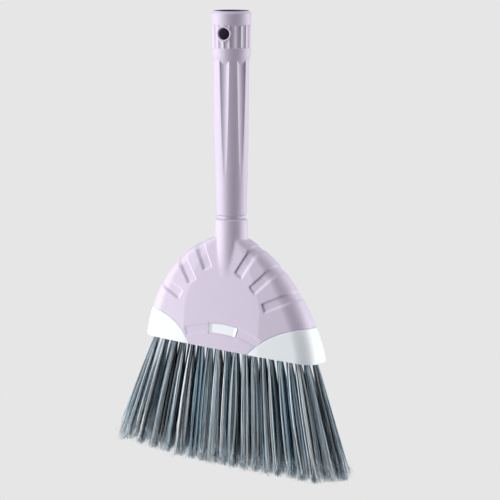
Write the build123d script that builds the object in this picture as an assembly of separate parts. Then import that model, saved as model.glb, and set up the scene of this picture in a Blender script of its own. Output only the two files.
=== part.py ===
# Hand broom: a hollow screw-in handle and a fan-shaped head that holds five rows of tufts.
# Millimetres. The origin is the centre of the hanging hole, +Z runs up the handle, -Y is the front.
from build123d import *
from math import ceil, cos, floor, radians, sin, sqrt, tan
import os

os.makedirs("parts", exist_ok=True)

# Shared by every cut: how far a cutting solid runs past the face that it opens
overrun = 3.0

# Handle collar, which the hanging hole passes through
rim_above_hole = 21.1
collar_dia = 37.5
collar_foot_dia = 36.0
rim_chamfer_width = 2.1
rim_chamfer_height = 2.3
collar_cavity_dia = 32.4
upper_band_height = 12.6
knurl_height = 22.8
lower_band_height = 7.2
collar_chamfer_height = 3.5

# Scallops round the collar
scallop_count = 20
scallop_depth = 0.9

# Hanging hole through both walls
hole_dia = 11.2
hole_rim_dia = 13.8
hole_rim_depth = 1.1

# Grip below the collar
grip_length = 146.5
grip_top_dia = 33.9
grip_middle_dia = 32.0
grip_foot_dia = 28.5
grip_foot_round = 1.1
core_top_dia = 24.8
core_foot_dia = 21.0
core_step_height = 4.0

# Tapering flutes down the grip
flute_count = 6
flute_radius = 9.0
flute_depth = 2.2
flute_length = 113.0
flute_ramp_height = 5.0

# Threaded end that screws into the head
seat_ring_dia = 25.2
seat_ring_height = 2.6
spigot_dia = 22.0
spigot_length = 22.0
spigot_bore_dia = 16.0
spigot_end_wall = 2.5
spigot_end_chamfer = 1.2
thread_clearance = 0.25

# Neck of the head cover, round the threaded socket
neck_rim_dia = 30.2
neck_foot_dia = 34.6
neck_rim_chamfer_height = 1.6
neck_straight_length = 16.0
neck_straight_dia = 30.7
neck_length = 54.0
socket_depth = 25.0
socket_floor = 2.5

# Fan-shaped body of the head
shoulder_below_seat = 15.9
left_half_width = 83.0
right_half_width = 92.0
left_shoulder_height = 98.2
right_shoulder_height = 116.0
left_shoulder_rise = 1.9
left_shoulder_spread = 1.9
right_shoulder_rise = 1.5
right_shoulder_spread = 1.7
head_top_trim = 2.0
top_half_depth = 12.0
bottom_half_depth = 27.7
panel_half_width = 38.5
panel_width_share = 0.5
facet_turn = 5.0
corner_radius = 18.0
corner_width_share = 0.45
corner_depth_share = 0.9
chords_round_corner = 6
head_height = 105.8
bottom_slant = 7.2
loft_height_shares = (0.0, 0.03, 0.08, 0.15, 0.24, 0.36, 0.5, 0.7, 1.0)

# Shell of the head cover
cover_wall = 2.6
joint_gap = 0.3
tongue_left = 31.9
tongue_right = 28.0
left_wing_rise = 26.4
right_wing_rise = 33.0
left_wing_radius = 59.0
right_wing_radius = 84.0

# Finger grooves that run out over the shoulders: distance from the axis, drop below the seat, turn
groove_width = 8.6
groove_depth = 1.2
groove_run = 75.0
left_grooves = ((-17.3, 46.8, 116.0), (-32.5, 59.6, 122.0), (-43.9, 72.3, 149.0))
right_grooves = ((14.3, 52.8, 58.0), (29.4, 66.0, 43.0), (41.7, 81.6, 22.0))

# Arched band across the front panel, with the plain badge in it
badge_rise = 19.2
badge_length = 29.0
badge_height = 9.4
badge_arch_radius = 94.6
badge_depth = 1.2
badge_proud = 0.2
badge_corner = 0.8
band_height = 7.8
band_depth = 0.35

# Bristle block and the rows of tufts set in it
block_height = 20.0
row_count = 5
row_pitch = 9.5
tuft_pitch = 9.0
strip_width = 6.0
strip_height = 6.0
strip_end_wall = 2.5
strand_edge = 1.4
strands_round_tuft = 4
strand_spread_at_root = 1.6
strand_root_depth = 1.0

# Fan of the tufts
bristle_length = 110.0
left_corner_bristle_loss = 8.0
right_corner_bristle_gain = 3.0
left_splay = 21.0
right_splay = 16.5
left_splay_power = 1.7
right_splay_power = 1.2
row_splay = 7.0
strand_spread_at_tip = 4.2

# Flat wire anchors that hold the tufts
anchor_length = 4.4
anchor_wire = 0.6
anchor_height = 1.8


# Heights on the handle, counted down from the rim
knurl_top = rim_above_hole - upper_band_height
knurl_foot = knurl_top - knurl_height
collar_foot = knurl_foot - lower_band_height
grip_top = collar_foot - collar_chamfer_height
grip_foot = grip_top - grip_length
seat = grip_foot - seat_ring_height
spigot_end = seat - spigot_length
shoulder_top = seat - shoulder_below_seat
head_bottom = shoulder_top - head_height


def turned(points):
    """A solid of revolution about the handle axis from (radius, height) corners."""
    return revolve(Plane.XZ * make_face(Polyline(*points, close=True)), Axis.Z)


def grip_radius(height):
    """Radius of the grip at a height: it tapers slowly to its middle and faster below."""
    share = (grip_top - height) / grip_length * 2
    if share < 1:
        return (grip_top_dia + (grip_middle_dia - grip_top_dia) * share) / 2
    return (grip_middle_dia + (grip_foot_dia - grip_middle_dia) * (share - 1)) / 2


def handle_blank():
    """The turned outside of the handle, from the chamfered rim to the end of the spigot."""
    rim = rim_above_hole
    collar_radius = collar_dia / 2
    foot_radius = grip_foot_dia / 2
    return turned((
        (0, rim), (collar_radius - rim_chamfer_width, rim), (collar_radius, rim - rim_chamfer_height),
        (collar_foot_dia / 2, collar_foot), (grip_top_dia / 2, grip_top),
        (grip_middle_dia / 2, (grip_top + grip_foot) / 2), (foot_radius, grip_foot + grip_foot_round),
        (foot_radius - grip_foot_round, grip_foot), (seat_ring_dia / 2, grip_foot),
        (seat_ring_dia / 2, seat), (spigot_dia / 2, seat), (spigot_dia / 2, spigot_end + spigot_end_chamfer),
        (spigot_dia / 2 - spigot_end_chamfer, spigot_end), (0, spigot_end),
    ))


def handle_core():
    """The hollow inside: a wide cavity in the collar, a core in two steps, a bored spigot."""
    core_top = collar_foot - core_step_height
    core_middle = (grip_top + grip_foot) / 2
    core_foot = grip_foot + core_step_height
    return turned((
        (0, rim_above_hole + overrun), (collar_cavity_dia / 2, rim_above_hole + overrun),
        (collar_cavity_dia / 2, collar_foot), (core_top_dia / 2, core_top),
        (core_top_dia / 2, core_middle), (core_foot_dia / 2, core_middle - core_step_height),
        (core_foot_dia / 2, core_foot), (spigot_bore_dia / 2, grip_foot),
        (spigot_bore_dia / 2, spigot_end + spigot_end_wall), (0, spigot_end + spigot_end_wall),
    ))


def collar_radius_at(height):
    """Radius of the collar's tapered side at a height."""
    side_top = rim_above_hole - rim_chamfer_height
    share = (side_top - height) / (side_top - collar_foot)
    return (collar_dia + (collar_foot_dia - collar_dia) * share) / 2


def scallops():
    """Round-bottomed cuts side by side round the collar, meeting in cusps, with one at the front."""
    half_pitch = radians(360 / scallop_count / 2)
    cusp_radius = collar_radius_at(knurl_foot)
    half_chord = cusp_radius * sin(half_pitch)
    sagitta = scallop_depth - cusp_radius * (1 - cos(half_pitch))
    radius = (half_chord ** 2 + sagitta ** 2) / (2 * sagitta)
    cutter = Cylinder(radius, knurl_height)
    cutter = Pos(cusp_radius + radius - scallop_depth, 0, (knurl_top + knurl_foot) / 2) * cutter
    first = -90 + 360 / scallop_count / 2
    return [Rot(0, 0, first + 360 / scallop_count * turn) * cutter for turn in range(scallop_count)]


def flutes():
    """Flutes that taper to a point down the grip and start on a ramp in line with the collar."""
    flute_foot = grip_top - flute_length
    top = (grip_radius(grip_top) + flute_radius - flute_depth, grip_top + overrun)
    foot = (grip_radius(flute_foot) + flute_radius, flute_foot - overrun)
    path = Vector(foot[0] - top[0], 0, foot[1] - top[1])
    rod = Plane(origin=(top[0], 0, top[1]), z_dir=path) * extrude(Circle(flute_radius), path.length)
    ramp_inner = core_top_dia / 2
    ramp_outer = grip_top_dia / 2 + flute_radius
    slope = flute_ramp_height / flute_depth
    ramp_at_inner = grip_top - (grip_top_dia / 2 - ramp_inner) * slope
    ramp_at_outer = grip_top + (ramp_outer - grip_top_dia / 2) * slope
    below_ramp = turned((
        (ramp_inner, ramp_at_inner), (ramp_outer, ramp_at_outer),
        (ramp_outer, flute_foot - overrun), (ramp_inner, flute_foot - overrun),
    ))
    flute = rod & below_ramp
    return [Rot(0, 0, -90 + 360 / flute_count * turn) * flute for turn in range(flute_count)]


def hanging_hole():
    """The hole through both walls, along Y, with a chamfered rim on each side."""
    reach = collar_dia / 2 + overrun
    hole = Rot(90, 0, 0) * Cylinder(hole_dia / 2, 2 * reach)
    rim_radius = collar_radius_at(0)
    flare = (hole_rim_dia - hole_dia) / 2 / hole_rim_depth
    wide = hole_dia / 2 + flare * (hole_rim_depth + overrun)
    rim = Cone(hole_dia / 2, wide, hole_rim_depth + overrun, align=(Align.CENTER, Align.CENTER, Align.MIN))
    rim = Pos(0, -(rim_radius - hole_rim_depth), 0) * Rot(90, 0, 0) * rim
    return hole + rim + Rot(0, 0, 180) * rim


def make_handle():
    cuts = [handle_core(), hanging_hole()] + scallops() + flutes()
    return handle_blank() - cuts


def half_width(height, right):
    """Half width of the head at a height: the shoulders swell as a superellipse."""
    if right:
        width, tall = right_half_width, right_shoulder_height
        rise, spread = right_shoulder_rise, right_shoulder_spread
    else:
        width, tall = left_half_width, left_shoulder_height
        rise, spread = left_shoulder_rise, left_shoulder_spread
    share = min((shoulder_top - height) / tall, 1)
    return width * (1 - (1 - share) ** rise) ** (1 / spread)


def half_depth(height):
    """Half thickness of the head at a height: both panels lean outwards to the bottom."""
    share = (shoulder_top - height) / head_height
    return top_half_depth + (bottom_half_depth - top_half_depth) * share


def section_corners(height, inset, right):
    """Reach, panel edge, panel depth, corner radius and depth at the corner of one side of a section."""
    reach = half_width(height + inset, right) - inset
    depth = half_depth(height) - inset
    panel = min(panel_half_width, panel_width_share * reach)
    slope = tan(radians(facet_turn))
    deepest = (depth - (reach - panel) * slope) / (1 - corner_depth_share * slope)
    radius = min(corner_radius - inset, corner_width_share * reach, corner_depth_share * deepest)
    corner_depth = depth - (reach - radius - panel) * slope
    return reach, panel, depth, radius, corner_depth


def section_side(height, inset, right):
    """Points from the front panel's edge round the rounded end to the back panel's edge."""
    reach, panel, depth, radius, corner_depth = section_corners(height, inset, right)
    turns = [radians(90 / chords_round_corner * step) for step in range(chords_round_corner + 1)]
    front = [(panel, -depth)]
    for turn in turns:
        front.append((reach - radius * (1 - sin(turn)), radius * (1 - cos(turn)) - corner_depth))
    return front + [(x, -y) for x, y in reversed(front)]


def head_section(height, inset):
    """A level section of the head: flat panels front and back, turned facets and rounded ends."""
    right_side = section_side(height, inset, True)
    left_side = [(-x, y) for x, y in reversed(section_side(height, inset, False))]
    return Pos(0, 0, height) * make_face(Polyline(*right_side, *left_side, close=True))


def bottom_plane(rise=0):
    """The slanted plane across the bottom of the head, or one parallel to it higher up."""
    slant = radians(bottom_slant)
    up = Vector(sin(slant), 0, cos(slant))
    return Plane(origin=Vector(0, 0, head_bottom) + up * rise, x_dir=(cos(slant), 0, -sin(slant)), z_dir=up)


def front_plane():
    """A plane across the head, seen from the front, with its X along the slanted bottom."""
    slant = radians(bottom_slant)
    return Plane(origin=(0, 0, head_bottom), x_dir=(cos(slant), 0, -sin(slant)), z_dir=(0, -1, 0))


def head_form(inset=0):
    """The whole head as one solid, or the same drawn in by an inset on every side but the bottom."""
    top = shoulder_top - head_top_trim - inset
    lowest = head_bottom - (right_half_width + overrun) * tan(radians(bottom_slant)) - overrun
    heights = [top + (lowest - top) * share for share in loft_height_shares]
    form = loft([head_section(height, inset) for height in heights], ruled=True)
    flat_skin = [Face(face.outer_wire()) for face in form.faces()]
    return split(Solid(Shell(flat_skin)), bisect_by=bottom_plane(), keep=Keep.TOP)


def wing_cutters(gap=0):
    """Two round bars along Y whose sides are the curved joints between cover and block."""
    reach = 2 * bottom_half_depth
    bars = []
    for edge, rise, radius, side in (
        (tongue_left, left_wing_rise, left_wing_radius, -1),
        (tongue_right, right_wing_rise, right_wing_radius, 1),
    ):
        drop = radius - rise
        across = edge + sqrt(radius ** 2 - drop ** 2)
        bar = extrude(Circle(radius + gap), 2 * reach)
        bars.append(front_plane() * Pos(side * across, -drop, -reach) * bar)
    return bars


def neck():
    """The round neck, flared downwards, whose rim the handle's ring seats on."""
    foot = seat - neck_length
    return turned((
        (0, seat), (seat_ring_dia / 2, seat), (neck_rim_dia / 2, seat - neck_rim_chamfer_height),
        (neck_straight_dia / 2, seat - neck_straight_length), (neck_foot_dia / 2, foot), (0, foot),
    ))


def socket_cylinder(radius, depth):
    """A round bar about the handle axis, from above the seat down to a depth below it."""
    return Pos(0, 0, seat + overrun) * Cylinder(
        radius, depth + overrun, align=(Align.CENTER, Align.CENTER, Align.MAX))


def groove_bars():
    """Straight bars across the head, one for each finger groove."""
    reach = 2 * bottom_half_depth
    bars = []
    for across, drop, turn in left_grooves + right_grooves:
        along = (cos(radians(turn)), 0, sin(radians(turn)))
        start = Plane(origin=(across, 0, seat - drop), x_dir=along, z_dir=(0, -1, 0))
        bar = extrude(Rectangle(groove_run, groove_width), 2 * reach)
        bars.append(start * Pos(groove_run / 2, 0, -reach) * bar)
    return bars


def arched_bar(length, height, corner=0):
    """A bar out of the front panel, arched about a point below the badge on the head's slant."""
    centre_drop = badge_rise - badge_arch_radius
    half_turn = length / 2 / badge_arch_radius
    inner, outer = badge_arch_radius - height / 2, badge_arch_radius + height / 2
    wedge_corner = Vector(sin(half_turn), cos(half_turn)) * outer * 2
    wedge = make_face(Polyline((0, 0), (-wedge_corner.X, wedge_corner.Y), wedge_corner, close=True))
    outline = (Circle(outer) - Circle(inner)) & wedge
    if corner:
        outline = fillet(outline.vertices(), corner)
    return front_plane() * Pos(0, centre_drop, 0) * extrude(outline, 2 * bottom_half_depth)


def make_head_cover():
    """The thin cover: neck, socket, grooves, band and badge recess, cut along the wing joints."""
    outside = (head_form() - groove_bars()) + head_form(groove_depth) + neck()
    boss = socket_cylinder(neck_straight_dia / 2, socket_depth + socket_floor)
    cavity = head_form(cover_wall) - boss
    socket = socket_cylinder(spigot_dia / 2 + thread_clearance, socket_depth)
    band = arched_bar(2 * panel_half_width, band_height) - head_form(band_depth)
    recess = arched_bar(badge_length, badge_height, badge_corner) - head_form(badge_depth)
    return outside - [cavity, socket, band, recess] - wing_cutters(joint_gap)


def make_badge_plate():
    """The plain badge, seated on the floor of its recess with a thin open line round it."""
    bar = arched_bar(badge_length - 2 * joint_gap, badge_height - 2 * joint_gap, badge_corner - joint_gap)
    return bar & (head_form(-badge_proud) - head_form(badge_depth))


def strip_limit(across, right):
    """How far along the bottom a row's slice may reach on one side, inside the block's wall."""
    side = 1 if right else -1
    slant = radians(bottom_slant)
    height = head_bottom - side * half_width(head_bottom, right) * tan(slant)
    reach, panel, depth, radius, corner_depth = section_corners(height, 0, right)
    into_corner = max(abs(across) + strip_width / 2 - (corner_depth - radius), 0)
    level = reach - radius + sqrt(radius ** 2 - into_corner ** 2)
    return side * (level / cos(slant) - strip_end_wall - strip_width / 2)


def row_places():
    """For each row: its distance from the middle, and the places of its tufts along the bottom."""
    middle = (strip_limit(0, False) + strip_limit(0, True)) / 2
    rows = []
    for row in range(row_count):
        across = (row - (row_count - 1) / 2) * row_pitch
        stagger = middle + (row % 2) * tuft_pitch / 2
        first = ceil((strip_limit(across, False) - stagger) / tuft_pitch)
        last = floor((strip_limit(across, True) - stagger) / tuft_pitch)
        rows.append((across, [stagger + place * tuft_pitch for place in range(first, last + 1)]))
    return rows


def strip_box(across, places):
    """The slice of the block that one row of tufts is set in."""
    length = places[-1] - places[0] + strip_width
    middle = (places[-1] + places[0]) / 2
    box = Box(length, strip_width, strip_height, align=(Align.CENTER, Align.CENTER, Align.MIN))
    return bottom_plane() * Pos(middle, across, 0) * box


def make_bristle_block(rows):
    """The white block: a plug inside the cover and a full-depth wing at each end."""
    top_cut = split(head_form(cover_wall + joint_gap), bisect_by=bottom_plane(block_height), keep=Keep.BOTTOM)
    wings = [head_form() & bar for bar in wing_cutters()]
    return top_cut + wings - [strip_box(across, places) for across, places in rows]


def strand_tip(across, place):
    """Where the tuft at a place ends: the tufts fan out to both ends and to front and back."""
    if place < 0:
        share = -place / left_half_width
        splay = -left_splay * share ** left_splay_power
        length = bristle_length - left_corner_bristle_loss * share ** 2
    else:
        share = place / right_half_width
        splay = right_splay * share ** right_splay_power
        length = bristle_length + right_corner_bristle_gain * share
    lean = row_splay * across / ((row_count - 1) / 2 * row_pitch)
    return Vector(length * tan(radians(splay)), length * tan(radians(lean)), -length)


def make_tuft_strands(across, place):
    """The strands of one tuft: three-sided, one in the middle and the rest round it."""
    base = bottom_plane() * Pos(place, across, strand_root_depth)
    run = strand_tip(across, place)
    outline = Triangle(a=strand_edge, b=strand_edge, c=strand_edge).face()
    spread = strand_spread_at_tip - strand_spread_at_root
    places = [Vector(0, 0)] + [
        Vector(cos(turn), sin(turn)) for turn in
        [radians(360 / strands_round_tuft * (step + 0.5)) for step in range(strands_round_tuft)]
    ]
    strands = []
    for offset in places:
        root = base.position + offset * strand_spread_at_root
        strands.append(Solid.extrude(Pos(*root) * outline, run + offset * spread))
    return strands


def make_bristle_row(across, places):
    """One row of tufts, fused to its slice of the block, with a slot for each wire anchor."""
    strip = strip_box(across, places) - make_tuft_anchors(across, places)
    strands = [strand for place in places for strand in make_tuft_strands(across, place)]
    return strip + strands


def make_tuft_anchors(across, places):
    """Flat wire anchors, one on top of each tuft, flush with the top of the slice."""
    wire = Box(anchor_length, anchor_wire, anchor_height, align=(Align.CENTER, Align.CENTER, Align.MAX))
    return [bottom_plane(strip_height) * Pos(place, across, 0) * wire for place in places]


tuft_rows = row_places()
export_step(make_handle(), "parts/handle.step")
export_step(make_head_cover(), "parts/head_cover.step")
export_step(make_badge_plate(), "parts/badge_plate.step")
export_step(make_bristle_block(tuft_rows), "parts/bristle_block.step")
for number, (across, places) in enumerate(tuft_rows, 1):
    export_step(make_bristle_row(across, places), f"parts/bristle_row_{number}.step")
    export_step(Compound(children=make_tuft_anchors(across, places)), f"parts/tuft_anchors_row_{number}.step")
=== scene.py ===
from math import cos, pi, radians, sin, tan

import bmesh
import bpy
import numpy as np
from mathutils import Matrix, Vector


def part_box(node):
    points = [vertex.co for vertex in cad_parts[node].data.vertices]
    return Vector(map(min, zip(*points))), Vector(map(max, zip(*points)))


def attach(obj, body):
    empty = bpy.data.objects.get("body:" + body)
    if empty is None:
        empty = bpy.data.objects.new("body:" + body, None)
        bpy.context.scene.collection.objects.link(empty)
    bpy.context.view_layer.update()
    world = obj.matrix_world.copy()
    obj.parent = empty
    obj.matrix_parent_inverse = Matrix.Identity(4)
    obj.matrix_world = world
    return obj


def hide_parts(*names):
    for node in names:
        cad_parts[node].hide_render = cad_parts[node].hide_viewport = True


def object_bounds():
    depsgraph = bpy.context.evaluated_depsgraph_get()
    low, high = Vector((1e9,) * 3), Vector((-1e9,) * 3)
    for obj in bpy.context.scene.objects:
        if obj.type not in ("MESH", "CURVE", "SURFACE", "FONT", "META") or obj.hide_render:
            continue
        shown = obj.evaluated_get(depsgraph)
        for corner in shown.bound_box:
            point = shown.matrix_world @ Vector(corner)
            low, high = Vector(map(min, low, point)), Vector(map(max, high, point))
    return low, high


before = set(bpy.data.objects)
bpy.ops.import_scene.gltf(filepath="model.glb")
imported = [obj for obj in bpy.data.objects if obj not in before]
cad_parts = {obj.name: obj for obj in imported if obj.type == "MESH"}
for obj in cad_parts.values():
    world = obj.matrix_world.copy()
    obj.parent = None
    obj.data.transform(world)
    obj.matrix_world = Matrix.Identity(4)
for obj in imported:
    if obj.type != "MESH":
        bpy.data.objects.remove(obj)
cad_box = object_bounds()

# The studio: a long lens to the right of the broom's front, a pale floor well below the tufts,
# one large soft light on each side, a weaker one above and a faint even fill, so that the broom
# is darkest face on.
camera_azimuth = radians(24.0)
camera_elevation = radians(5.7)
photo_side = 500            # pixels
photo_scale = 0.0009366     # metres of broom to a pixel
hole_pixel = (231.4, 33.0)
lens_mm = 360.0
sensor_mm = 36.0
sees_to = 100               # metres
lights_aim_at = Vector((0, 0, -0.05))
light_reach = 1.6           # metres from there to each light
side_light_size = (1.7, 1.3)
top_light_size = (1.2, 1.2)
floor_reach = 0.8
floor_height = -1.0
pale_grey = "e6e6e6"

view_back = Vector((sin(camera_azimuth) * cos(camera_elevation),
                    -cos(camera_azimuth) * cos(camera_elevation), sin(camera_elevation)))
view_right = Vector((cos(camera_azimuth), sin(camera_azimuth), 0))
view_up = view_back.cross(view_right)
right_of_hole = photo_side / 2 - hole_pixel[0]
above_hole = hole_pixel[1] - photo_side / 2
target = (view_right * right_of_hole + view_up * above_hole) * photo_scale
distance = lens_mm / sensor_mm * photo_side * photo_scale
camera_data = bpy.data.cameras.new("camera")
camera_data.lens = lens_mm
camera_data.sensor_width = sensor_mm
camera_data.clip_end = sees_to
camera = bpy.data.objects.new("camera", camera_data)
bpy.context.scene.collection.objects.link(camera)
camera_axes = Matrix((view_right, view_up, view_back)).transposed().to_4x4()
camera.matrix_world = Matrix.Translation(target + view_back * distance) @ camera_axes
bpy.context.scene.camera = camera
bpy.context.scene.view_settings.view_transform = "Standard"


def linear(hex_colour):
    """An sRGB hex colour as linear red, green, blue and alpha: each part over 12.92 where it is
    dark, and otherwise ((part + 0.055) / 1.055) to the power 2.4."""
    parts = [int(hex_colour[i:i + 2], 16) / 255 for i in (0, 2, 4)]
    return tuple(
        part / 12.92 if part <= 0.04045 else ((part + 0.055) / 1.055) ** 2.4 for part in parts
    ) + (1.0,)


def fill_inputs(node, inputs):
    """Give a shader node's inputs their values, or link them to other nodes' outputs."""
    for socket, value in inputs.items():
        if isinstance(value, bpy.types.NodeSocket):
            node.id_data.links.new(value, node.inputs[socket])
        else:
            node.inputs[socket].default_value = value


def add_node(nodes, kind, inputs, **settings):
    """One shader node, with its own settings and its inputs."""
    node = nodes.new(kind)
    for setting, value in settings.items():
        setattr(node, setting, value)
    fill_inputs(node, inputs)
    return node


def bare_finish(name, inputs):
    """A new material and its shader, with the inputs that are the same all over the surface."""
    finish = bpy.data.materials.new(name)
    finish.use_nodes = True
    shader = finish.node_tree.nodes["Principled BSDF"]
    fill_inputs(shader, inputs)
    return finish, shader


def add_light(name, azimuth, elevation, size, power):
    """A soft rectangular light, at an azimuth in degrees from the camera, aimed at the grip."""
    around, up = radians(azimuth), radians(elevation)
    level = view_back.to_2d().normalized() * cos(around) + view_right.to_2d() * sin(around)
    toward_light = Vector((level.x, level.y, 0)) * cos(up) + Vector((0, 0, sin(up)))
    data = bpy.data.lights.new(name, "AREA")
    data.shape = "RECTANGLE"
    data.size, data.size_y = size
    data.energy = power
    lamp = bpy.data.objects.new(name, data)
    bpy.context.scene.collection.objects.link(lamp)
    lamp.location = lights_aim_at + toward_light * light_reach
    lamp.rotation_euler = (lights_aim_at - lamp.location).to_track_quat("-Z", "Y").to_euler()


add_light("left_softbox", -80, 0, side_light_size, 42)
add_light("right_softbox", 97, 0, side_light_size, 34)
add_light("top_softbox", -40, 84, top_light_size, 13)

# The camera sees a plain grey backdrop, while the broom gets a faint bluish fill from all round
world = bpy.data.worlds.new("studio")
bpy.context.scene.world = world
world.use_nodes = True
sky = world.node_tree.nodes
sky.clear()
fill = add_node(sky, "ShaderNodeBackground", {"Color": linear("e6f0ff"), "Strength": 0.04})
backdrop = add_node(sky, "ShaderNodeBackground", {"Color": linear(pale_grey)})
seen = add_node(sky, "ShaderNodeLightPath", {}).outputs["Is Camera Ray"]
around_broom = add_node(sky, "ShaderNodeMixShader", {
    "Fac": seen, 1: fill.outputs["Background"], 2: backdrop.outputs["Background"]})
add_node(sky, "ShaderNodeOutputWorld", {"Surface": around_broom.outputs["Shader"]})

floor_data = bpy.data.meshes.new("floor")
floor_corners = [(x * floor_reach, y * floor_reach, floor_height)
                 for x, y in ((-1, -1), (1, -1), (1, 1), (-1, 1))]
floor_data.from_pydata(floor_corners, [], [(0, 1, 2, 3)])
floor = bpy.data.objects.new("floor", floor_data)
bpy.context.scene.collection.objects.link(floor)
floor_paint, _ = bare_finish("matt_white_floor_paint", {
    "Base Color": linear(pale_grey), "Roughness": 0.9})
floor_data.materials.append(floor_paint)

# The handle: one hollow polypropylene moulding, a fluted grip under a scalloped collar, with a
# coarse broom thread on its lower end and every edge slightly rounded by the mould. Sizes are in
# millimetres, and heights are from the middle of the hanging hole.
millimetre = 0.001
rim_height = 21.1
rim_chamfer_width = 2.1
rim_chamfer_height = 2.3
collar_radius = 18.75
collar_foot_radius = 18.0
collar_foot = -21.5
cavity_radius = 16.2
cavity_mouth_radius = 16.5
cavity_mouth_depth = 1.4
knurl_top = 8.5
knurl_foot = -14.3
scallop_count = 20
scallop_depth = 0.9
scallop_ramp = 1.6
hole_boss_radius = 6.7
hole_boss_blend = 1.6
grip_top = -25.0
grip_foot = -171.5
grip_foot_round = 1.1
grip_top_radius = 16.95
grip_middle_radius = 16.0
grip_foot_radius = 14.25
flute_count = 6
flute_radius = 9.0
flute_depth = 2.2
flute_length = 113.0
flute_ramp = 3.4
core_top_radius = 12.4
core_foot_radius = 10.5
core_step = 4.0
seat_height = -174.1
seat_ring_radius = 12.6
spigot_radius = 11.0
spigot_end = -196.1
spigot_chamfer = 1.2
spigot_bore_radius = 8.0
spigot_wall = 2.5
thread_pitch = 5.0
thread_depth = 1.0
thread_fade = 2.0
thread_above_end = 1.5
thread_below_seat = 2.0
edge_softness = 0.35
columns_round_handle = 320


def ease(value, start, end):
    """Smooth rise from 0 at start to 1 at end: t squared times (3 - 2t)."""
    t = np.clip((value - start) / (end - start), 0, 1)
    return t * t * (3 - 2 * t)


def turned_outline(corners, softness):
    """Radius and height down a turned outline. A corner is (radius, height, rows on the run after
    it). It is cut back by the softness, or by 0.4 of a short run, to three Bezier points. Rows
    crowd towards both ends of a run, as (1 - cos(pi t)) / 2."""
    most_of_run = 0.4
    points = np.array([corner[:2] for corner in corners], float)
    stops = [[points[0]]]
    for before, corner, after in zip(points, points[1:], points[2:]):
        up, on = before - corner, after - corner
        back = up * min(softness / np.linalg.norm(up), most_of_run)
        forth = on * min(softness / np.linalg.norm(on), most_of_run)
        stops.append([corner + back, corner + (back + forth) / 4, corner + forth])
    stops.append([points[-1]])
    path = []
    for corner, stop, following in zip(corners, stops, stops[1:]):
        crowded = (0.5 - 0.5 * np.cos(pi * np.linspace(0, 1, corner[2] + 1)))[:-1, None]
        path.append(np.array(stop[:-1]).reshape(-1, 2))
        path.append(stop[-1] + (following[0] - stop[-1]) * crowded)
    path.append(np.array(stops[-1]))
    return np.concatenate(path)


def add_surface(name, grid, finish):
    """One closed skin. grid[row, column] is a point in millimetres. Columns wrap round, the first
    and last rows fold shut, and points that then meet are merged. Faces end up outwards."""
    merge_distance = 2e-6   # metres
    rows, columns = grid.shape[:2]
    index = np.arange(rows * columns).reshape(rows, columns)
    after = np.roll(index, -1, axis=1)
    quads = np.stack([index[:-1], after[:-1], after[1:], index[1:]], axis=-1).reshape(-1, 4)
    mesh = bpy.data.meshes.new(name)
    mesh.from_pydata((grid.reshape(-1, 3) * millimetre).tolist(), [], quads.tolist())
    shell = bmesh.new()
    shell.from_mesh(mesh)
    bmesh.ops.remove_doubles(shell, verts=shell.verts, dist=merge_distance)
    if shell.calc_volume(signed=True) < 0:
        bmesh.ops.reverse_faces(shell, faces=shell.faces)
    shell.to_mesh(mesh)
    shell.free()
    mesh.shade_smooth()
    mesh.materials.append(finish)
    piece = bpy.data.objects.new(name, mesh)
    bpy.context.scene.collection.objects.link(piece)
    return piece


def dress(piece, body, node):
    """Carry a finished piece on its body, in place of the plain solid of one node."""
    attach(piece, body)
    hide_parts(node)


def moulded_polypropylene(name, colour, deep_colour, roughness):
    """Injection-moulded polypropylene: a satin skin with a fine spark-eroded grain 0.5 mm apart,
    drawn faintly, and clouds of pigment about 30 mm across that turn the colour a little deeper."""
    grain_spacing = 0.0005
    grain_height = 0.00002
    cloud_width = 0.03
    smoother, rougher = -0.04, 0.05
    finish, shader = bare_finish(name, {"IOR": 1.49, "Specular IOR Level": 0.3})
    nodes = finish.node_tree.nodes
    place = add_node(nodes, "ShaderNodeTexCoord", {}).outputs["Object"]
    cloud = add_node(nodes, "ShaderNodeTexNoise", {
        "Vector": place, "Scale": 1 / cloud_width, "Detail": 3.0}).outputs["Fac"]
    grain = add_node(nodes, "ShaderNodeTexNoise", {
        "Vector": place, "Scale": 1 / grain_spacing, "Detail": 2.0}).outputs["Fac"]
    tint = add_node(nodes, "ShaderNodeMix", {
        0: cloud, 6: linear(colour), 7: linear(deep_colour)}, data_type="RGBA")
    gloss = add_node(nodes, "ShaderNodeMapRange", {
        "Value": cloud, "To Min": roughness + smoother, "To Max": roughness + rougher})
    bump = add_node(nodes, "ShaderNodeBump", {
        "Height": grain, "Strength": 0.35, "Distance": grain_height})
    fill_inputs(shader, {"Base Color": tint.outputs[2], "Roughness": gloss.outputs["Result"],
                         "Normal": bump.outputs["Normal"]})
    return finish


def collar_radius_at(height):
    """The collar's radius, widening evenly from its foot to the chamfer under the rim."""
    ends = (collar_foot, rim_height - rim_chamfer_height)
    return np.interp(height, ends, (collar_foot_radius, collar_radius))


def thread_rise(height, around):
    """How far the thread's rounded ridge has risen, 0 at its root and 1 on its crest: the distance
    from the helix height = pitch times turns, as a share of half a pitch, eased from 0.3 to 0.7."""
    from_root = np.abs(np.mod(height / thread_pitch - around / (2 * pi), 1) - 0.5) * 2
    return ease(from_root, 0.3, 0.7)


def faded_run(height, foot, top, fade):
    """1 between a foot and a top height, eased to 0 over the fade inside each."""
    return ease(height, foot, foot + fade) * ease(-height, -top, fade - top)


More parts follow.
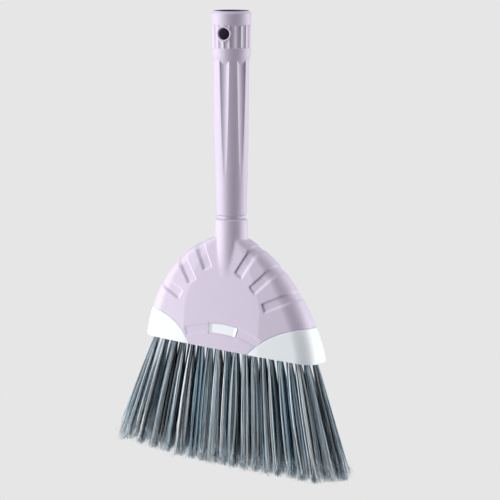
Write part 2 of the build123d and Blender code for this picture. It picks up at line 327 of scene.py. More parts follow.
turn = np.linspace(0, 2 * pi, columns_round_handle, endpoint=False) - pi / 2
grip_middle = (grip_top + grip_foot) / 2
outside = turned_outline((
    (0, spigot_end, 3), (spigot_radius - spigot_chamfer, spigot_end, 2),
    (spigot_radius, spigot_end + spigot_chamfer, 60), (spigot_radius, seat_height, 2),
    (seat_ring_radius, seat_height, 4), (seat_ring_radius, grip_foot, 2),
    (grip_foot_radius - grip_foot_round, grip_foot, 3),
    (grip_foot_radius, grip_foot + grip_foot_round, 60),
    (grip_top_radius, grip_top, 8), (collar_foot_radius, collar_foot, 8),
    (collar_radius_at(knurl_foot), knurl_foot, 64), (collar_radius_at(knurl_top), knurl_top, 14),
    (collar_radius, rim_height - rim_chamfer_height, 4),
    (collar_radius - rim_chamfer_width, rim_height, 1),
), edge_softness)
inside = turned_outline((
    (cavity_mouth_radius, rim_height, 4), (cavity_radius, rim_height - cavity_mouth_depth, 8),
    (cavity_radius, collar_foot, 3), (core_top_radius, collar_foot - core_step, 4),
    (core_top_radius, grip_middle, 2), (core_foot_radius, grip_middle - core_step, 4),
    (core_foot_radius, grip_foot + core_step, 2), (spigot_bore_radius, grip_foot, 3),
    (spigot_bore_radius, spigot_end + spigot_wall, 3), (0, spigot_end + spigot_wall, 1),
), edge_softness)

# The grip's side bulges from a straight taper by 4 share (1 - share) of what its middle lacks
radius, height = outside[:, :1], outside[:, 1:]
grip_share = np.clip((grip_top - height) / (grip_top - grip_foot), 0, 1)
on_grip = (height < grip_top) & (height > grip_foot + grip_foot_round)
middle_bulge = grip_middle_radius - (grip_top_radius + grip_foot_radius) / 2
side = radius + np.where(on_grip, middle_bulge * 4 * grip_share * (1 - grip_share), 0)

# Scallops: a circle bitten into the collar between two cusps, down to a ramp at each end of
# the band, and faded out round the boss of the hanging hole
scallop_turn = 2 * pi / scallop_count
from_middle = np.mod(turn + pi / 2, scallop_turn) - scallop_turn / 2
bite_sagitta = scallop_depth - side * (1 - cos(scallop_turn / 2))
half_chord = side * sin(scallop_turn / 2)
bite_radius = (half_chord ** 2 + bite_sagitta ** 2) / (2 * bite_sagitta)
bite_centre = side + bite_radius - scallop_depth
bite_reach = np.sqrt(bite_radius ** 2 - (bite_centre * np.sin(from_middle)) ** 2)
bite = bite_centre * np.cos(from_middle) - bite_reach
from_end = np.minimum(knurl_top - height, height - knurl_foot)
bite = np.maximum(bite, side - np.maximum(from_end, 0) * scallop_depth / scallop_ramp)
from_hole = np.hypot(side * np.cos(turn), height)
off_boss = ease(from_hole, hole_boss_radius, hole_boss_radius + hole_boss_blend)
scalloped = side + (np.minimum(bite, side) - side) * off_boss
outer = np.where(from_end > 0, scalloped, side)

# Flutes: a rod laid along the grip, rising out of it towards the foot, above a top ramp
flute_turn = 2 * pi / flute_count
from_flute = np.mod(turn + pi / 2 + flute_turn / 2, flute_turn) - flute_turn / 2
flute_share = np.clip((grip_top - height) / flute_length, 0, 1)
rod_centre = side + flute_radius - flute_depth * (1 - flute_share)
off_centre = rod_centre * np.sin(from_flute)
rod_reach = np.sqrt(flute_radius ** 2 - np.clip(off_centre, -flute_radius, flute_radius) ** 2)
rod = np.where(np.abs(off_centre) < flute_radius, rod_centre * np.cos(from_flute) - rod_reach, side)
flute = np.maximum(rod, grip_top_radius + (height - grip_top) * flute_depth / flute_ramp)
outer = np.where(on_grip, np.minimum(flute, outer), outer)

# Thread: a rounded ridge that climbs one pitch in a turn, faded out before the seat and the end
on_spigot = (height < seat_height) & (height > spigot_end + spigot_chamfer)
ridge = thread_rise(height, turn) * faded_run(
    height, spigot_end + thread_above_end, seat_height - thread_below_seat, thread_fade)
outer = np.where(on_spigot, outer - thread_depth * (1 - ridge), outer)

inner = np.broadcast_to(inside[:, :1], (len(inside), len(turn)))
radii = np.concatenate([outer, inner])
heights = np.broadcast_to(np.concatenate([outside, inside])[:, 1:], radii.shape)
handle_grid = np.stack([radii * np.cos(turn), radii * np.sin(turn), heights], axis=-1)
lilac = moulded_polypropylene("moulded_polypropylene_lilac", "d7cce0", "d1c6db", 0.5)
handle = add_surface("handle_moulding", handle_grid, lilac)
dress(handle, "handle", "handle")

# The hanging hole: a plain round bore through both walls, with a rounded chamfer on each side
# that follows the collar. It is cut out of the finished moulding, where the cross pin of the
# mould leaves it.
hole_radius = 5.6
hole_rim_radius = 6.6
hole_rim_depth = 0.9
hole_rim_bow = 0.35
hole_rim_bow_depth = 0.5
cutter_proud = 2.0
cutter_flare = 1.2
columns_round_hole = 96
sharp_from = radians(38)

# The cutter's rows: radius, and distance out from the collar's surface
cutter_rows = ((0, cutter_proud), (hole_rim_radius + cutter_flare, cutter_proud),
               (hole_rim_radius, 0), (hole_radius + hole_rim_bow, -hole_rim_bow_depth),
               (hole_radius, -hole_rim_depth))
hole_turn = np.linspace(0, 2 * pi, columns_round_hole, endpoint=False)
half_cutter = []
for across, proud in cutter_rows:
    x, z = across * np.cos(hole_turn), across * np.sin(hole_turn)
    wall = np.sqrt(collar_radius_at(0) ** 2 - x ** 2) + proud
    half_cutter.append(np.stack([x, -wall, z], axis=-1))
half_cutter = np.array(half_cutter)
cutter_grid = np.concatenate([half_cutter, half_cutter[::-1] * (1, -1, 1)])
cutter = add_surface("hole_cutter", cutter_grid, lilac)
cut = handle.modifiers.new("hanging_hole", "BOOLEAN")
cut.operation = "DIFFERENCE"
cut.object = cutter
cut.solver = "EXACT"
worked_out = handle.evaluated_get(bpy.context.evaluated_depsgraph_get())
bored = bpy.data.meshes.new_from_object(worked_out)
handle.modifiers.clear()
handle.data = bored
bpy.data.objects.remove(cutter)
bored.shade_smooth()
bored.set_sharp_from_angle(angle=sharp_from)

# Painted shade: the lilac is a deep purple copy inside the handle, standing for the shade there:
# on the faces nearer the axis than a reach, in the collar, the grip and the spigot
painted_shade_lilac = moulded_polypropylene(
    "moulded_polypropylene_lilac_painted_shade", "69527a", "5c4669", 0.5)
bored.materials.append(painted_shade_lilac)
below_rim = rim_height - 0.05
inside_from = (collar_foot - 1, grip_foot, spigot_end + 0.5)
inside_reach = (cavity_mouth_radius + 0.1, core_top_radius + 0.3, spigot_bore_radius + 0.4)
centres = np.empty(3 * len(bored.polygons))
bored.polygons.foreach_get("center", centres)
x, y, z = centres.reshape(-1, 3).T / millimetre
reach = np.select([z > foot for foot in inside_from], inside_reach)
in_painted_shade = (np.hypot(x, y) < reach) & (z < below_rim)
bored.polygons.foreach_set("material_index", in_painted_shade.astype(np.int32))

# The head cover: one thin lilac moulding that screws onto the handle, a flared neck with the
# female thread inside it and a fan-shaped shell under it, with finger grooves over both
# shoulders and a shallow arched band for the badge.
shoulder_top = -190.0
head_bottom = -295.8
body_top = shoulder_top - 2.0
slant = radians(7.2)
left_half_width = 83.0
left_shoulder_height = 98.2
left_rise = 1.9
left_spread = 1.9
right_half_width = 92.0
right_shoulder_height = 116.0
right_rise = 1.5
right_spread = 1.7
top_half_depth = 12.0
bottom_half_depth = 27.7
panel_half_width = 38.5
panel_width_share = 0.5
facet_slope = tan(radians(5.0))
corner_radius = 18.0
corner_width_share = 0.45
corner_depth_share = 0.9
neck_rim_radius = 15.1
neck_rim_chamfer = 1.6
neck_radius = 15.35
neck_straight_foot = seat_height - 16.0
neck_foot_radius = 17.3
neck_foot = seat_height - 54.0
neck_end_radius = 4.0
neck_end = neck_foot - 30.0
neck_fillet = 0.6
neck_fillet_run = 10.0
socket_radius = 11.25
socket_floor = seat_height - 25.0
socket_mouth_gap = 0.3
socket_thread_depth = 0.8
socket_thread_from_end = 1.0
cover_wall = 2.6
cover_ceiling = -204.0
joint_gap = 0.3
lip_softness = 0.5
lining_above_lip = 1.0
left_wing_edge = 31.9
left_wing_rise = 26.4
left_wing_radius = 59.0
right_wing_edge = 28.0
right_wing_rise = 33.0
right_wing_radius = 84.0
groove_width = 8.6
groove_depth = 1.2
groove_softness = 2.0
groove_end_share = 0.3
# Finger grooves: where each starts across the head and below the seat, and its turn in degrees
grooves = ((-17.3, 46.8, 116.0), (-32.5, 59.6, 122.0), (-43.9, 72.3, 149.0),
           (14.3, 52.8, 58.0), (29.4, 66.0, 43.0), (41.7, 81.6, 22.0))
badge_rise = 19.2
badge_arch_radius = 94.6
badge_length = 29.0
badge_height = 9.4
badge_depth = 1.2
recess_clearance = 0.5
recess_softness = 0.8
band_height = 7.8
band_depth = 0.35
band_softness = 1.5
body_row_count = 132
wall_row_count = 12
end_columns = 3
corner_columns = 12
facet_columns = 24
panel_columns = 130

# Columns of the front half, from the left end round to the right: each has the stretch of the
# section that it lies on (0 flat end, 1 corner, 2 facet, 3 panel) and its share of that stretch
end_kind = np.repeat([0, 1, 2], [end_columns, corner_columns, facet_columns])
end_share = np.concatenate([
    np.arange(n) / n for n in (end_columns, corner_columns, facet_columns)])
kind = np.concatenate([end_kind, np.full(panel_columns + 1, 3), end_kind[::-1]])
share = np.concatenate([end_share, np.linspace(0, 1, panel_columns + 1), end_share[::-1]])
right_side = np.arange(len(kind)) >= len(end_kind)


def panel_depth_at(height):
    """Half the head's depth at its panels, which lean out evenly from the top to the bottom."""
    lean = (shoulder_top - height) / (shoulder_top - head_bottom)
    return top_half_depth + (bottom_half_depth - top_half_depth) * lean


def section_side(height, inset, width, tall, rise, spread):
    """Reach, panel edge, corner radius, corner depth and panel depth on one side of the head. The
    reach is width times (1 - (1 - drop / tall) ^ rise) ^ (1 / spread)."""
    drop = np.clip((shoulder_top - height - inset) / tall, 0, 1)
    reach = width * (1 - (1 - drop) ** rise) ** (1 / spread) - inset
    depth = panel_depth_at(height) - inset
    panel = np.minimum(panel_half_width, panel_width_share * reach)
    end_depth = depth - (reach - panel) * facet_slope
    deepest = end_depth / (1 - corner_depth_share * facet_slope)
    corner = np.minimum(corner_radius - inset, corner_width_share * reach)
    corner = np.minimum(corner, corner_depth_share * deepest)
    return reach, panel, corner, depth - (reach - corner - panel) * facet_slope, depth


def section_point(height, inset):
    """Points of the front half of the head's level sections, one per column, drawn in by an
    inset: a flat end, a quarter circle round the corner, a straight facet and a flat panel."""
    height = np.broadcast_to(height, np.broadcast_shapes(np.shape(height), share.shape))
    left = section_side(
        height, inset, left_half_width, left_shoulder_height, left_rise, left_spread)
    right = section_side(
        height, inset, right_half_width, right_shoulder_height, right_rise, right_spread)
    reach, panel, corner, corner_depth, depth = [
        np.where(right_side, b, a) for a, b in zip(left, right)]
    angle = pi / 2 * (1 - share)
    stretches = [kind == 0, kind == 1, kind == 2]
    across = np.select(stretches, [
        reach,
        reach - corner * (1 - np.sin(angle)),
        (reach - corner) * (1 - share) + panel * share])
    across = across * np.where(right_side, 1, -1)
    across = np.where(kind == 3, -left[1] + (left[1] + right[1]) * share, across)
    out = np.select(stretches, [
        (corner_depth - corner) * share,
        corner_depth - corner * (1 - np.cos(angle)),
        corner_depth * (1 - share) + depth * share], depth)
    return np.stack([across, -out, height], axis=-1)


def along_bottom(points):
    """Distance along the slanted bottom and height above it, for points of the head."""
    x, z = points[..., 0], points[..., 2] - head_bottom
    return x * cos(slant) - z * sin(slant), x * sin(slant) + z * cos(slant)


def clear_of_wings(points, gap):
    """How far points lie above the bottom and outside both wing circles, less the gap: the lesser
    of the three distances, which is negative past the cover's edge."""
    along, above = along_bottom(points)
    clear = above
    for sign, edge, rise, circle in (
            (-1, left_wing_edge, left_wing_rise, left_wing_radius),
            (1, right_wing_edge, right_wing_rise, right_wing_radius)):
        drop = circle - rise
        middle = sign * (edge + np.sqrt(circle ** 2 - drop ** 2))
        clear = np.minimum(clear, np.hypot(along - middle, above + drop) - circle - gap)
    return clear


def lower_edge(measure, inset):
    """Height at which each column crosses zero of a measure of its points, found by halving the
    interval from well under the bottom to just under the shoulders."""
    halvings, below_bottom, below_shoulders = 40, 60.0, 5.0
    low = np.full(share.shape, head_bottom - below_bottom)
    high = np.full(share.shape, shoulder_top - below_shoulders)
    for _ in range(halvings):
        middle = (low + high) / 2
        on_cover = measure(section_point(middle, inset)) > 0
        low, high = np.where(on_cover, low, middle), np.where(on_cover, middle, high)
    return (low + high) / 2


def neck_at(height):
    """Radius of the neck: a short rim chamfer, a straight collar, then a slow flare that dies in
    the panel, with straight runs between."""
    stops = (neck_end, neck_foot, neck_straight_foot, seat_height - neck_rim_chamfer, seat_height)
    radii_there = (neck_end_radius, neck_foot_radius, neck_radius, neck_rim_radius,
                   seat_ring_radius)
    return np.interp(height, stops, radii_there)


def with_neck(points):
    """Union with the neck: polar radius (a + b + root((a - b)^2 + k^2)) / 2, where k is the
    fillet, which grows from nothing below the shoulders' top."""
    polar, neck = np.hypot(points[..., 0], points[..., 1]), neck_at(points[..., 2])
    fillet = neck_fillet * ease(-points[..., 2], -shoulder_top, neck_fillet_run - shoulder_top)
    merged = (polar + neck + np.sqrt((polar - neck) ** 2 + fillet ** 2)) / 2
    return points * np.stack([merged / polar, merged / polar, np.ones_like(polar)], axis=-1)


def groove_mask(points):
    """1 on the floor of a finger groove and 0 outside: the eased distance past its start times
    the eased distance inside its sides."""
    mask = np.zeros(points.shape[:-1])
    for across, drop, degrees in grooves:
        angle = radians(degrees)
        x, z = points[..., 0] - across, points[..., 2] - (seat_height - drop)
        run = x * cos(angle) + z * sin(angle)
        from_side = groove_width / 2 - np.abs(z * cos(angle) - x * sin(angle))
        past_start = ease(run, -groove_softness / 2, groove_softness)
        in_groove = past_start * ease(from_side, -groove_softness / 2, groove_softness / 2)
        mask = np.maximum(mask, in_groove)
    return mask


def arch_mask(points, length, tall, softness):
    """1 inside a bar arched about a point below the badge and 0 outside: the eased distance
    inside its two arcs times the eased distance inside its ends."""
    along, above = along_bottom(points)
    from_centre = above - (badge_rise - badge_arch_radius)
    in_arcs = tall / 2 - np.abs(np.hypot(along, from_centre) - badge_arch_radius)
    in_ends = length / 2 - np.abs(np.arctan2(along, from_centre)) * badge_arch_radius
    return ease(in_arcs, -softness / 2, softness / 2) * ease(in_ends, -softness / 2, softness / 2)


def round_the_back(front_half, back_half):
    """A full turn of columns: the front half, then the back half mirrored, without its ends."""
    return np.concatenate([front_half, back_half[:, -2:0:-1] * (1, -1, 1)], axis=1)


def rows_between(start, end, count):
    """Heights of evenly spaced rows from start to end, one list of columns for each row."""
    return start + (end - start) * np.linspace(0, 1, count)[:, None]


# The outer skin, with the grooves shallower round the ends, and the front's band and recess
cover_edge = lower_edge(lambda points: clear_of_wings(points, joint_gap), 0)
body_rows = rows_between(np.full(share.shape, body_top), cover_edge + lip_softness, body_row_count)
skin = section_point(body_rows, 0)
groove_fade = np.select([kind == 0, kind == 1], [
    groove_end_share, groove_end_share + (1 - groove_end_share) * ease(share, 0, 1)], 1.0)
grooved = (groove_mask(skin) * groove_fade)[..., None]
skin = with_neck(skin + (section_point(body_rows, groove_depth) - skin) * grooved)
front_skin = skin.copy()
front_skin[..., 1] += band_depth * arch_mask(
    skin, 2 * panel_half_width, band_height, band_softness)
front_skin[..., 1] += (badge_depth - band_depth) * arch_mask(
    skin, badge_length + recess_clearance, badge_height + recess_clearance, recess_softness)

# The rounded lip and the lining: shares of the softness up from the edge and in from each wall
lip_rise_shares = np.array([0.45, 0.16, 0.0, 0.0, 0.3])[:, None]
lip_inset_shares = np.array([0.1, 0.4, 1.0, -0.6, 0.0])[:, None]
lip_walls = np.array([0, 0, 0, cover_wall, cover_wall])[:, None]
lip = section_point(lip_rise_shares * lip_softness + cover_edge,
                    lip_walls + lip_inset_shares * lip_softness)
wall_rows = rows_between(
    cover_edge + lining_above_lip, np.full(share.shape, cover_ceiling), wall_row_count)
lining = np.concatenate([lip, section_point(wall_rows, cover_wall)])
ceiling = lining[-1:] * (0, 0, 1)

direction = skin[0] / np.hypot(skin[0, :, 0], skin[0, :, 1])[:, None]
column_turn = np.arctan2(direction[:, 1], direction[:, 0])
socket_outline = turned_outline((
    (0, socket_floor, 3), (socket_radius, socket_floor, 42), (socket_radius, seat_height, 2),
    (seat_ring_radius + socket_mouth_gap, seat_height, 2),
    (neck_rim_radius, seat_height - neck_rim_chamfer, 10),
    (neck_radius, neck_straight_foot, 3), (neck_at(body_top), body_top, 1),
), edge_softness)[:-1]


def socket_rows(turns):
    """Rows up the threaded socket, over the rim and down the neck, at the columns' polar angles."""
    out, up = socket_outline[:, :1], socket_outline[:, 1:]
    before_rim = np.arange(len(up))[:, None] < np.argmax(up)
    groove = thread_rise(up, turns) * faded_run(
        up, socket_floor + socket_thread_from_end, seat_height - socket_thread_from_end,
        thread_fade)
    out = out + np.where(before_rim, socket_thread_depth * groove, 0)
    return np.stack([out * np.cos(turns), out * np.sin(turns), up * np.ones(len(turns))], axis=-1)


cover_front = np.concatenate([socket_rows(column_turn), front_skin, lining, ceiling])
cover_back = np.concatenate([socket_rows(-column_turn) * (1, -1, 1), skin, lining, ceiling])
pale_lilac = moulded_polypropylene(
    "moulded_polypropylene_lilac_head", "dcd1e5", "d7cce1", 0.46)
cover = add_surface("cover_moulding", round_the_back(cover_front, cover_back), pale_lilac)
dress(cover, "head", "head_cover")

# The bristle block: a white moulding pushed up into the cover, full depth at both wings, where
# its curved edges show below the cover with a fine open line between.
block_height = 20.0
block_inset = cover_wall + joint_gap
least_wing = 0.05
bottom_round = 0.8
skin_row_count = 24
# Rows round its rounded edges: distance from the edge, and inset from the skin
wing_edge_rows = ((0.0, 0.5), (0.1, 0.2), (0.25, 0.05))
bottom_edge_rows = ((0.4, 0.06), (0.12, 0.25), (0.0, 0.7))

bottom_edge = lower_edge(lambda points: along_bottom(points)[1], 0)
wing_edge = lower_edge(lambda points: clear_of_wings(points, 0), 0)
plug_top = lower_edge(lambda points: along_bottom(points)[1] - block_height, block_inset)
plug_top = np.maximum(plug_top, wing_edge)
is_wing = wing_edge > bottom_edge + least_wing
skin_inset = np.where(is_wing, 0, block_inset)
skin_top = np.maximum(wing_edge - lip_softness, bottom_edge + bottom_round)
skin_heights = rows_between(skin_top, bottom_edge + bottom_round, skin_row_count)
block_rows = [section_point(plug_top, block_inset), section_point(wing_edge, block_inset)]
block_rows += [section_point(wing_edge - down, skin_inset + inset)
               for down, inset in wing_edge_rows]
block_rows += list(section_point(skin_heights, skin_inset))
block_rows += [section_point(bottom_edge + up, skin_inset + inset)
               for up, inset in bottom_edge_rows]
block_half = np.array([block_rows[0] * (1, 0, 1)] + block_rows + [block_rows[-1] * (1, 0, 1)])
white = moulded_polypropylene("moulded_polypropylene_white_painted_glow", "e6e9eb", "e0e3e6", 0.4)
# Painted light: a trace of glow stands for daylight through the thin wall, so its shadows stay pale
fill_inputs(white.node_tree.nodes["Principled BSDF"], {
    "Emission Color": linear("e8f3ff"), "Emission Strength": 0.15})
block = add_surface("block_moulding", round_the_back(block_half, block_half), white)
dress(block, "head", "bristle_block")

# The badge: a small arched plate of white plastic, plain, with a fine raised edge. It is pressed
# into its recess in the front panel and stands a hair proud of the band round it.
badge_proud = -0.2
badge_corner = 0.8
badge_clearance = 0.3
plate_half_length = badge_length / 2 - badge_clearance
plate_half_height = badge_height / 2 - badge_clearance
corner_steps = 8
long_steps = 40
short_steps = 10
# The plate's rows, from the middle of its back to the middle of its face: share of its outline,
# and height over the panel
plate_rows = ((0, -badge_depth), (0.5, -badge_depth), (1, -badge_depth), (1, -0.1), (0.992, 0.08),
              (0.97, badge_proud), (0.75, badge_proud), (0.45, badge_proud), (0, badge_proud))


def plate_side(start, end, steps, first_turn):
    """One corner, a quarter circle about start, and the straight side after it towards end, as
    distance along the arch and height."""
    quarter = first_turn + np.linspace(0, pi / 2, corner_steps, endpoint=False)
    arc = start + badge_corner * np.stack([np.cos(quarter), np.sin(quarter)], axis=-1)
    last_turn = first_turn + pi / 2
    offset = badge_corner * np.array([cos(last_turn), sin(last_turn)])
    shares = np.linspace(0, 1, steps, endpoint=False)[:, None]
    return np.concatenate([arc, start + offset + (end - start) * shares])


corner_x = plate_half_length - badge_corner
corner_y = plate_half_height - badge_corner
plate_corners = np.array([
    (corner_x, corner_y), (-corner_x, corner_y), (-corner_x, -corner_y), (corner_x, -corner_y)])
plate_outline = np.concatenate([
    plate_side(plate_corners[i], plate_corners[(i + 1) % 4], (long_steps, short_steps)[i % 2],
               i * pi / 2)
    for i in range(4)])
plate = []
for outline_share, proud in plate_rows:
    arc_turn = plate_outline[:, 0] * outline_share / badge_arch_radius
    arc_radius = badge_arch_radius + plate_outline[:, 1] * outline_share
    along = arc_radius * np.sin(arc_turn)
    above = arc_radius * np.cos(arc_turn) + badge_rise - badge_arch_radius
    x = along * cos(slant) + above * sin(slant)
    z = head_bottom - along * sin(slant) + above * cos(slant)
    plate.append(np.stack([x, -panel_depth_at(z) - proud, z], axis=-1))
# The plate takes the block's white, with the same painted glow
badge = add_surface("badge_inlay", np.array(plate), white)
dress(badge, "head", "badge_plate")

# The tufts: drawn synthetic filaments, blue-grey, navy and a little brown-grey mixed, doubled
# over a wire anchor and driven into the block in five rows. They lie in clumps, and their split
# tips curl a little.
row_count = 5
tuft_pitch = 9.0
root_depth = 1.0
anchor_length = 4.4
anchor_bottom = 4.2
anchor_height = 1.8
bristle_length = 109.0
left_loss = 15.0
right_gain = 3.0
left_splay = 23.0           # degrees at the left end of a row
left_splay_power = 1.7
right_splay = 16.0
right_splay_power = 1.2
row_splay = 7.0
outer_row_distance = 19.0
tuft_root_radius = 2.3
outer_tip_radius = 4.2
inner_tip_radius = 6.4
tuft_spread_power = 0.75
clumps_in_tuft = 18
clump_root_radius = 0.5
clump_tip_radius = 1.1
clump_tip_scatter = 0.9
clump_bend = 0.8
clump_cut_back = 0.035
filaments_in_clump = 9
filament_radius = 0.25
filament_bend = 0.35
filament_cut_back = 0.03
filament_stops = np.array([0, 0.16, 0.33, 0.5, 0.66, 0.79, 0.88, 0.95, 1.0])
filament_taper = np.interp(filament_stops, (0, 0.6, 1), (1.0, 0.9, 0.35))
curl_start = 0.86
curl_reach = 1.3
wild_share = 0.12
wild_curl = 1.5
dark_share = 0.27
slate_share = 0.42          # dark and slate clumps together
tone_scatter = 0.16
tip_paler = 0.22
tip_paler_from = 0.7
brown_share = 0.13
brown_warmth = 0.6
hairs_in_tuft = 60
hair_length = 10.0
hair_radius = 0.17
hair_least_length_share = 0.35
hair_start_share = 0.045
hair_start_scatter = 0.13
hair_beyond_tuft = 0.8
hair_lean = 0.55
hair_bend = 0.55
hair_droop = 0.32
hair_stops = 6
hair_tone_mean = 0.78
hair_tone_scatter = 0.14
hair_tone_least = 0.3
inside_box = 0.05
first_seed = 40


def drawn_filament(name):
    """Drawn filament: smooth and slightly glossy, its colour set by a tone and a warmth on each
    strand, from navy black through slate to pale blue-grey, and paler where the tips are split."""
    tones = ((0.0, "04080c"), (0.2, "233a4a"), (0.42, "85abc2"), (0.7, "cde4f2"), (1.0, "ffffff"))
    finish, shader = bare_finish(name, {"Roughness": 0.3, "IOR": 1.5})
    nodes = finish.node_tree.nodes
    tone = add_node(nodes, "ShaderNodeAttribute", {}, attribute_name="tone")
    warmth = add_node(nodes, "ShaderNodeAttribute", {}, attribute_name="warmth")
    ramp = add_node(nodes, "ShaderNodeValToRGB", {"Fac": tone.outputs["Fac"]})
    elements = ramp.color_ramp.elements
    elements.remove(elements[0])
    elements[0].position = tones[0][0]
    elements[0].color = linear(tones[0][1])
    for position, colour in tones[1:]:
        elements.new(position).color = linear(colour)
    mixed = add_node(nodes, "ShaderNodeMix", {
        0: warmth.outputs["Fac"], 6: ramp.outputs["Color"], 7: linear("77736f")}, data_type="RGBA")
    fill_inputs(shader, {"Base Color": mixed.outputs[2]})
    return finish


def disc(rng, shape, radius):
    """Random points spread evenly over a disc: radius times the root of one share, at a random
    turn."""
    reach, turns = radius * np.sqrt(rng.random(shape)), 2 * pi * rng.random(shape)
    return np.stack([reach * np.cos(turns), reach * np.sin(turns)], axis=-1)


def tubes(middle, thickness, rng):
    """Three-sided tubes along paths. middle[..., stop, xyz] is each path and thickness[..., stop]
    its radius. A stop's corners are the middle plus the radius times (cos, sin) at three turns,
    the first of them random."""
    stops = middle.shape[-2]
    turns = 2 * pi * (rng.random(middle.shape[:-2])[..., None, None] + np.arange(3) / 3)
    ring = np.stack([np.cos(turns), np.sin(turns), np.zeros_like(turns)], axis=-1)
    points = (middle[..., None, :] + ring * thickness[..., None, None]).reshape(-1, 3)
    index = np.arange(len(points)).reshape(-1, stops, 3)
    after = np.roll(index, -1, axis=2)
    quads = np.stack([index[:, :-1], index[:, 1:], after[:, 1:], after[:, :-1]], axis=-1)
    ends = np.concatenate([index[:, 0], index[:, -1, ::-1]])
    return points, quads.reshape(-1, 4).tolist() + ends.tolist()


def add_height(sideways, down):
    """Points from their places across, (x, y), and their heights, z."""
    return np.concatenate([sideways, down], axis=-1)


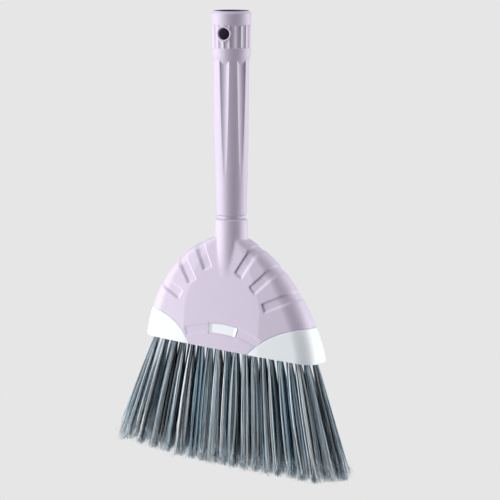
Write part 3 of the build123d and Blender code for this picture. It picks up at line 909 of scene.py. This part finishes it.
filament_finish = drawn_filament("drawn_filament_blue_grey")
low_corner, high_corner = (np.array(corner) / millimetre for corner in cad_box)
for row in range(1, row_count + 1):
    rng = np.random.default_rng(first_seed + row)
    piece_name = f"filaments_row_{row}"

    # Tufts stand over the row's anchors, and fan out by a power of their place along the head
    low, high = (np.array(corner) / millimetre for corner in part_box(f"tuft_anchors_row_{row}"))
    across = (low[1] + high[1]) / 2
    anchor_top = anchor_bottom + anchor_height
    first = (low[0] - anchor_bottom * sin(slant)) / cos(slant) + anchor_length / 2
    last = (high[0] - anchor_top * sin(slant)) / cos(slant) - anchor_length / 2
    tufts = round((last - first) / tuft_pitch) + 1
    places = first + tuft_pitch * np.arange(tufts)
    is_left = places < 0
    toward_end = np.abs(places) / np.where(is_left, left_half_width, right_half_width)
    splay = np.where(is_left, -left_splay * toward_end ** left_splay_power,
                     right_splay * toward_end ** right_splay_power)
    drop = bristle_length + np.where(
        is_left, -left_loss * toward_end ** 2, right_gain * toward_end)
    lean = radians(row_splay) * across / outer_row_distance
    root = np.stack([places * cos(slant) + root_depth * sin(slant), np.full(tufts, across),
                     head_bottom - places * sin(slant) + root_depth * cos(slant)], axis=-1)
    run = np.stack([drop * np.tan(np.radians(splay)), drop * tan(lean), -drop], axis=-1)

    # Clumps of filaments: each filament goes from its root to its tip, opens with a power of its
    # length, bows by a half sine and curls by a square at the end
    clumps = (tufts, clumps_in_tuft)
    filaments = clumps + (filaments_in_clump,)
    tuft_tip_radius = outer_tip_radius if row in (1, row_count) else inner_tip_radius
    clump_root = disc(rng, clumps, tuft_root_radius)
    clump_tip = (clump_root * tuft_tip_radius / tuft_root_radius
                 + rng.normal(0, clump_tip_scatter, clumps + (2,)))
    clump_bow = rng.normal(0, clump_bend, clumps + (2,))
    own = disc(rng, filaments, 1.0)
    own_bow = rng.normal(0, filament_bend, filaments + (2,))
    curl = rng.normal(0, curl_reach, filaments + (2,))
    curl = curl * (1 + wild_curl * (rng.random(filaments + (1,)) < wild_share))
    cut_back = (1 - filament_cut_back * rng.random(filaments) ** 2
                - clump_cut_back * rng.random(clumps + (1,)) ** 2)
    t = filament_stops[:, None]
    opened = t ** tuft_spread_power
    curled = np.clip((t - curl_start) / (1 - curl_start), 0, 1) ** 2
    sideways = (clump_root[:, :, None, None] * (1 - opened) + clump_tip[:, :, None, None] * opened
                + own[:, :, :, None] * (clump_root_radius * (1 - t) + clump_tip_radius * t)
                + (clump_bow[:, :, None, None] + own_bow[:, :, :, None]) * np.sin(pi * t)
                + curl[:, :, :, None] * curled)
    middle = root[:, None, None, None] + run[:, None, None, None] * t * cut_back[..., None, None]
    middle = middle + add_height(sideways, np.zeros(sideways.shape[:-1] + (1,)))

    # Tone and warmth: a clump is dark, slate or pale, and a few clumps are brown
    mood = rng.random(clumps)
    clump_tone = np.select(
        [mood < dark_share, mood < slate_share],
        [0.03 + 0.17 * mood / dark_share, 0.3 + (mood - dark_share)],
        0.6 + 0.4 * (mood - slate_share) / (1 - slate_share))
    tone = clump_tone[:, :, None, None] + rng.normal(0, tone_scatter, filaments)[..., None]
    tone = tone + tip_paler * ease(filament_stops, tip_paler_from, 1.0)
    brown = np.where(rng.random(clumps) < brown_share, brown_warmth, 0.0)
    warmth = brown[:, :, None, None] * np.ones(tone.shape)
    thickness = filament_radius * filament_taper * np.ones(tone.shape)
    long_points, long_faces = tubes(middle, thickness, rng)

    # Split ends: fine hairs that leave the last of the tuft, lean, bend by a square and droop,
    # none longer than hair_length
    hairs = (tufts, hairs_in_tuft)
    leave = 1 - hair_start_scatter * rng.random(hairs) ** 1.3
    spot = disc(rng, hairs, tuft_tip_radius + hair_beyond_tuft)
    heading = rng.normal(0, hair_lean, hairs + (2,))
    bend = rng.normal(0, 1.0, hairs + (2,))
    h = np.linspace(0, 1, hair_stops)[:, None]
    length_share = hair_least_length_share + (1 - hair_least_length_share) * rng.random(hairs)
    length = (hair_length * length_share)[:, :, None, None]
    hair_down = -length * (h - hair_droop * h ** 2)
    hair_side = spot[:, :, None] + length * (
        heading[:, :, None] * h + bend[:, :, None] * h ** 2 * hair_bend)
    hair = root[:, None, None] + run[:, None, None] * (leave[:, :, None, None] - hair_start_share)
    hair = hair + add_height(hair_side, hair_down)
    hair_points, hair_faces = tubes(hair, hair_radius * np.ones(hair.shape[:-1]), rng)
    hair_tone = np.clip(rng.normal(hair_tone_mean, hair_tone_scatter, hairs), hair_tone_least, 1)
    hair_tone = hair_tone[..., None] * np.ones(hair.shape[:-1])

    points = np.clip(np.concatenate([long_points, hair_points]),
                     low_corner + inside_box, high_corner - inside_box)
    hair_faces = [[corner + len(long_points) for corner in face] for face in hair_faces]
    mesh = bpy.data.meshes.new(piece_name)
    mesh.from_pydata((points * millimetre).tolist(), [], long_faces + hair_faces)
    mesh.shade_smooth()
    for attribute, values, hair_values in (
            ("tone", tone, hair_tone), ("warmth", warmth, 0 * hair_tone)):
        layer = mesh.attributes.new(attribute, "FLOAT", "POINT")
        every = np.concatenate([values.reshape(-1), hair_values.reshape(-1)])
        layer.data.foreach_set("value", np.repeat(np.clip(every, 0, 1), 3).astype(np.float32))
    mesh.materials.append(filament_finish)
    piece = bpy.data.objects.new(piece_name, mesh)
    bpy.context.scene.collection.objects.link(piece)
    dress(piece, "head", f"bristle_row_{row}")

# The anchors: short pieces of flat galvanised steel wire, one across the fold of each tuft,
# driven into the block. They stay as the model holds them, with a dull zinc finish and the fine
# marks of drawing 0.8 mm apart.
mark_spacing = 0.0008
zinc_wire, wire_shader = bare_finish("galvanised_steel_wire", {
    "Base Color": linear("b9bcbf"), "Metallic": 1.0})
wire_nodes = zinc_wire.node_tree.nodes
wire_place = add_node(wire_nodes, "ShaderNodeTexCoord", {}).outputs["Object"]
marks = add_node(wire_nodes, "ShaderNodeTexNoise", {
    "Vector": wire_place, "Scale": 1 / mark_spacing})
dullness = add_node(wire_nodes, "ShaderNodeMapRange", {
    "Value": marks.outputs["Fac"], "To Min": 0.3, "To Max": 0.5})
fill_inputs(wire_shader, {"Roughness": dullness.outputs["Result"]})
for row in range(1, row_count + 1):
    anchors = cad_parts[f"tuft_anchors_row_{row}"]
    anchors.data.materials.clear()
    anchors.data.materials.append(zinc_wire)
